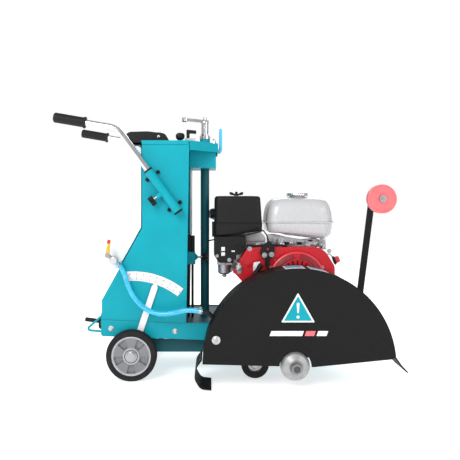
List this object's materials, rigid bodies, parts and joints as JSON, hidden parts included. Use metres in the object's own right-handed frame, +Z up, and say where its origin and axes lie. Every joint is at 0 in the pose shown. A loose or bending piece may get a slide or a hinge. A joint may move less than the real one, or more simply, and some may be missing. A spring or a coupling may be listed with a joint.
{
  "type": "walk-behind concrete saw",
  "caption": "Push-type concrete and asphalt cutting saw with a petrol engine, blade guard, hand-cranked depth screw, water tank and folding guide arm.",
  "frame": {"origin": "on the floor, under the centre of the whole machine", "axes": "+X forward towards the guide arm, +Y to the machine's left, +Z up"},
  "size_m": [1.2265, 0.5721, 0.973],
  "materials": {
    "teal_paint": "satin powder coat",
    "dark_teal_paint": "satin powder coat",
    "cyan_paint": "gloss powder coat",
    "white_paint": "satin",
    "black_paint": "satin",
    "red_paint": "gloss",
    "tank_paint": "gloss",
    "chrome": "polished",
    "steel": "machined",
    "cast_iron": "as cast",
    "aluminium": "as cast",
    "black_plastic": "moulded",
    "red_plastic": "moulded",
    "yellow_plastic": "dipped",
    "pink_plastic": "moulded",
    "tank_plastic": "translucent moulded",
    "hose_plastic": "translucent",
    "rubber": "matte",
    "grip_rubber": "ribbed",
    "tyre": "matte"
  },
  "bodies": {
    "carriage": {"swing_frame": "dark_teal_paint", "wheel_axles": "steel", "depth_pointer": "white_paint"},
    "main_frame": {"chassis": "teal_paint", "column": "teal_paint", "top_plate": "teal_paint", "screw_post": "dark_teal_paint", "lock_slide": "black_plastic", "depth_lock": "teal_paint", "lifting_eye": "cyan_paint", "depth_scale": "white_paint", "frame_fasteners": "chrome", "handle_sockets": "teal_paint", "water_tank": "tank_plastic", "tank_valve": "steel", "water_hose": "hose_plastic", "spray_nozzle": "black_plastic", "blade_guard": "black_paint", "splash_flaps": "rubber", "belt_guard": "black_paint", "bearing_housings": "cast_iron", "drive_belts": "rubber", "crankcase": "aluminium", "cylinder": "aluminium", "fan_shroud": "red_paint", "recoil_cover": "red_paint", "carburettor": "aluminium", "carb_cover": "black_plastic", "air_cleaner": "black_plastic", "fuel_tank": "tank_paint", "muffler": "steel"},
    "rear_wheel_right": {"rear_tyre_right": "tyre", "rear_rim_right": "aluminium"},
    "rear_wheel_left": {"rear_tyre_left": "tyre", "rear_rim_left": "aluminium"},
    "front_wheel_right": {"front_wheel_right": "tyre"},
    "front_wheel_left": {"front_wheel_left": "tyre"},
    "depth_crank": {"crank_handle": "chrome"},
    "lift_nut": {"lift_nut": "steel"},
    "handlebar_right": {"handlebar_right": "chrome", "grip_right": "grip_rubber"},
    "handlebar_left": {"handlebar_left": "chrome", "grip_left": "grip_rubber"},
    "handle_knob_right": {"handle_knob_right": "black_plastic"},
    "handle_knob_left": {"handle_knob_left": "black_plastic"},
    "lock_knob": {"lock_knob": "black_plastic"},
    "guide_arm": {"guide_bar": "black_paint"},
    "guide_roller": {"guide_roller": "pink_plastic"},
    "arbor": {"arbor_shaft": "steel", "blade_flange": "chrome"},
    "crankshaft": {"crankshaft": "cast_iron"},
    "recoil_grip": {"recoil_grip": "black_plastic"},
    "engine_throttle": {"engine_throttle": "black_plastic"},
    "hand_throttle": {"hand_throttle": "black_plastic"},
    "choke_lever": {"choke_lever": "black_plastic"},
    "ignition_switch": {"ignition_switch": "red_plastic"},
    "fuel_cap": {"fuel_cap": "chrome"},
    "tank_lid": {"tank_lid": "black_plastic"},
    "valve_lever": {"valve_lever": "yellow_plastic"},
    "brake_pedal": {"brake_pedal": "black_plastic"}
  },
  "joints": [
    {"name": "frame_tilt", "type": "hinge", "parent": "carriage", "child": "main_frame", "pos_m": [-0.3322, 0.0562, 0.09], "axis": [0, -1, 0], "range_deg": [0, 18]},
    {"name": "rear_wheel_right_spin", "type": "hinge", "parent": "carriage", "child": "rear_wheel_right", "pos_m": [-0.3322, -0.1498, 0.09], "axis": [0, 1, 0], "continuous": true},
    {"name": "front_wheel_right_spin", "type": "hinge", "parent": "carriage", "child": "front_wheel_right", "pos_m": [0.1098, -0.1118, 0.05], "axis": [0, 1, 0], "continuous": true},
    {"name": "handlebar_right_slide", "type": "slide", "parent": "main_frame", "child": "handlebar_right", "axis": [-0.5885, 0, 0.8085], "range_m": [-0.03, 0.06]},
    {"name": "handle_knob_right_turn", "type": "hinge", "parent": "main_frame", "child": "handle_knob_right", "pos_m": [-0.25831, -0.1488, 0.64358], "axis": [-0.8085, 0, -0.5885], "range_deg": [0, 360]},
    {"name": "rear_wheel_left_spin", "type": "hinge", "parent": "carriage", "child": "rear_wheel_left", "pos_m": [-0.3322, 0.2622, 0.09], "axis": [0, 1, 0], "continuous": true},
    {"name": "front_wheel_left_spin", "type": "hinge", "parent": "carriage", "child": "front_wheel_left", "pos_m": [0.1098, 0.2242, 0.05], "axis": [0, 1, 0], "continuous": true},
    {"name": "handlebar_left_slide", "type": "slide", "parent": "main_frame", "child": "handlebar_left", "axis": [-0.5885, 0, 0.8085], "range_m": [-0.03, 0.06]},
    {"name": "handle_knob_left_turn", "type": "hinge", "parent": "main_frame", "child": "handle_knob_left", "pos_m": [-0.25831, 0.2612, 0.64358], "axis": [-0.8085, 0, -0.5885], "range_deg": [0, 360]},
    {"name": "depth_crank_turn", "type": "hinge", "parent": "main_frame", "child": "depth_crank", "pos_m": [-0.0732, 0.0562, 0.92], "axis": [0, 0, 1], "range_deg": [0, 5830]},
    {"name": "lift_nut_slide", "type": "slide", "parent": "main_frame", "child": "lift_nut", "axis": [0, 0, -1], "range_m": [0, 0.082]},
    {"name": "lock_knob_turn", "type": "hinge", "parent": "main_frame", "child": "lock_knob", "pos_m": [-0.0822, 0.0132, 0.425], "axis": [1, 0, 0], "range_deg": [0, 360]},
    {"name": "guide_fold", "type": "hinge", "parent": "main_frame", "child": "guide_arm", "pos_m": [0.4658, -0.1318, 0.139], "axis": [0, 1, 0], "range_deg": [0, 92]},
    {"name": "guide_roller_spin", "type": "hinge", "parent": "guide_arm", "child": "guide_roller", "pos_m": [0.5298, -0.2398, 0.646], "axis": [0, 1, 0], "continuous": true},
    {"name": "engine_spin", "type": "hinge", "parent": "main_frame", "child": "crankshaft", "pos_m": [0.2648, 0.0562, 0.353], "axis": [0, 1, 0], "continuous": true},
    {"name": "arbor_spin", "type": "hinge", "parent": "main_frame", "child": "arbor", "pos_m": [0.2358, 0.0562, 0.08], "axis": [0, 1, 0], "continuous": true},
    {"name": "recoil_pull", "type": "slide", "parent": "main_frame", "child": "recoil_grip", "axis": [-0.6004, -0.1501, 0.7855], "range_m": [0, 0.4], "stiffness_N_per_m": 20, "springref_m": -0.05},
    {"name": "engine_throttle_turn", "type": "hinge", "parent": "main_frame", "child": "engine_throttle", "pos_m": [0.1578, -0.1008, 0.465], "axis": [0, 1, 0], "range_deg": [0, 25]},
    {"name": "hand_throttle_turn", "type": "hinge", "parent": "main_frame", "child": "hand_throttle", "pos_m": [-0.1382, 0.0102, 0.872], "axis": [0, 1, 0], "range_deg": [0, 35]},
    {"name": "choke_turn", "type": "hinge", "parent": "main_frame", "child": "choke_lever", "pos_m": [0.0538, -0.0778, 0.47], "axis": [0, -1, 0], "range_deg": [0, 40]},
    {"name": "ignition_turn", "type": "hinge", "parent": "main_frame", "child": "ignition_switch", "pos_m": [0.4158, -0.0648, 0.4234], "axis": [0.9404, 0, 0.3401], "range_deg": [0, 45]},
    {"name": "fuel_cap_turn", "type": "hinge", "parent": "main_frame", "child": "fuel_cap", "pos_m": [0.2888, 0.0362, 0.668], "axis": [0, 0, 1], "range_deg": [0, 90]},
    {"name": "tank_lid_open", "type": "hinge", "parent": "main_frame", "child": "tank_lid", "pos_m": [-0.2012, 0.0562, 0.866], "axis": [0, 1, 0], "range_deg": [0, 70]},
    {"name": "valve_turn", "type": "hinge", "parent": "main_frame", "child": "valve_lever", "pos_m": [-0.4192, -0.1588, 0.446], "axis": [0, 1, 0], "range_deg": [0, 90]},
    {"name": "brake_pedal_press", "type": "hinge", "parent": "main_frame", "child": "brake_pedal", "pos_m": [-0.4642, 0.0012, 0.175], "axis": [0, -1, 0], "range_deg": [0, 18], "stiffness_Nm_per_rad": 2, "springref_deg": -5.73}
  ],
  "couplings": [
    {"joint": "depth_crank_turn", "follows": "frame_tilt", "ratio": 323.46},
    {"joint": "lift_nut_slide", "follows": "frame_tilt", "m_per_rad": 0.2574},
    {"joint": "arbor_spin", "follows": "engine_spin", "ratio": 0.84}
  ]
}
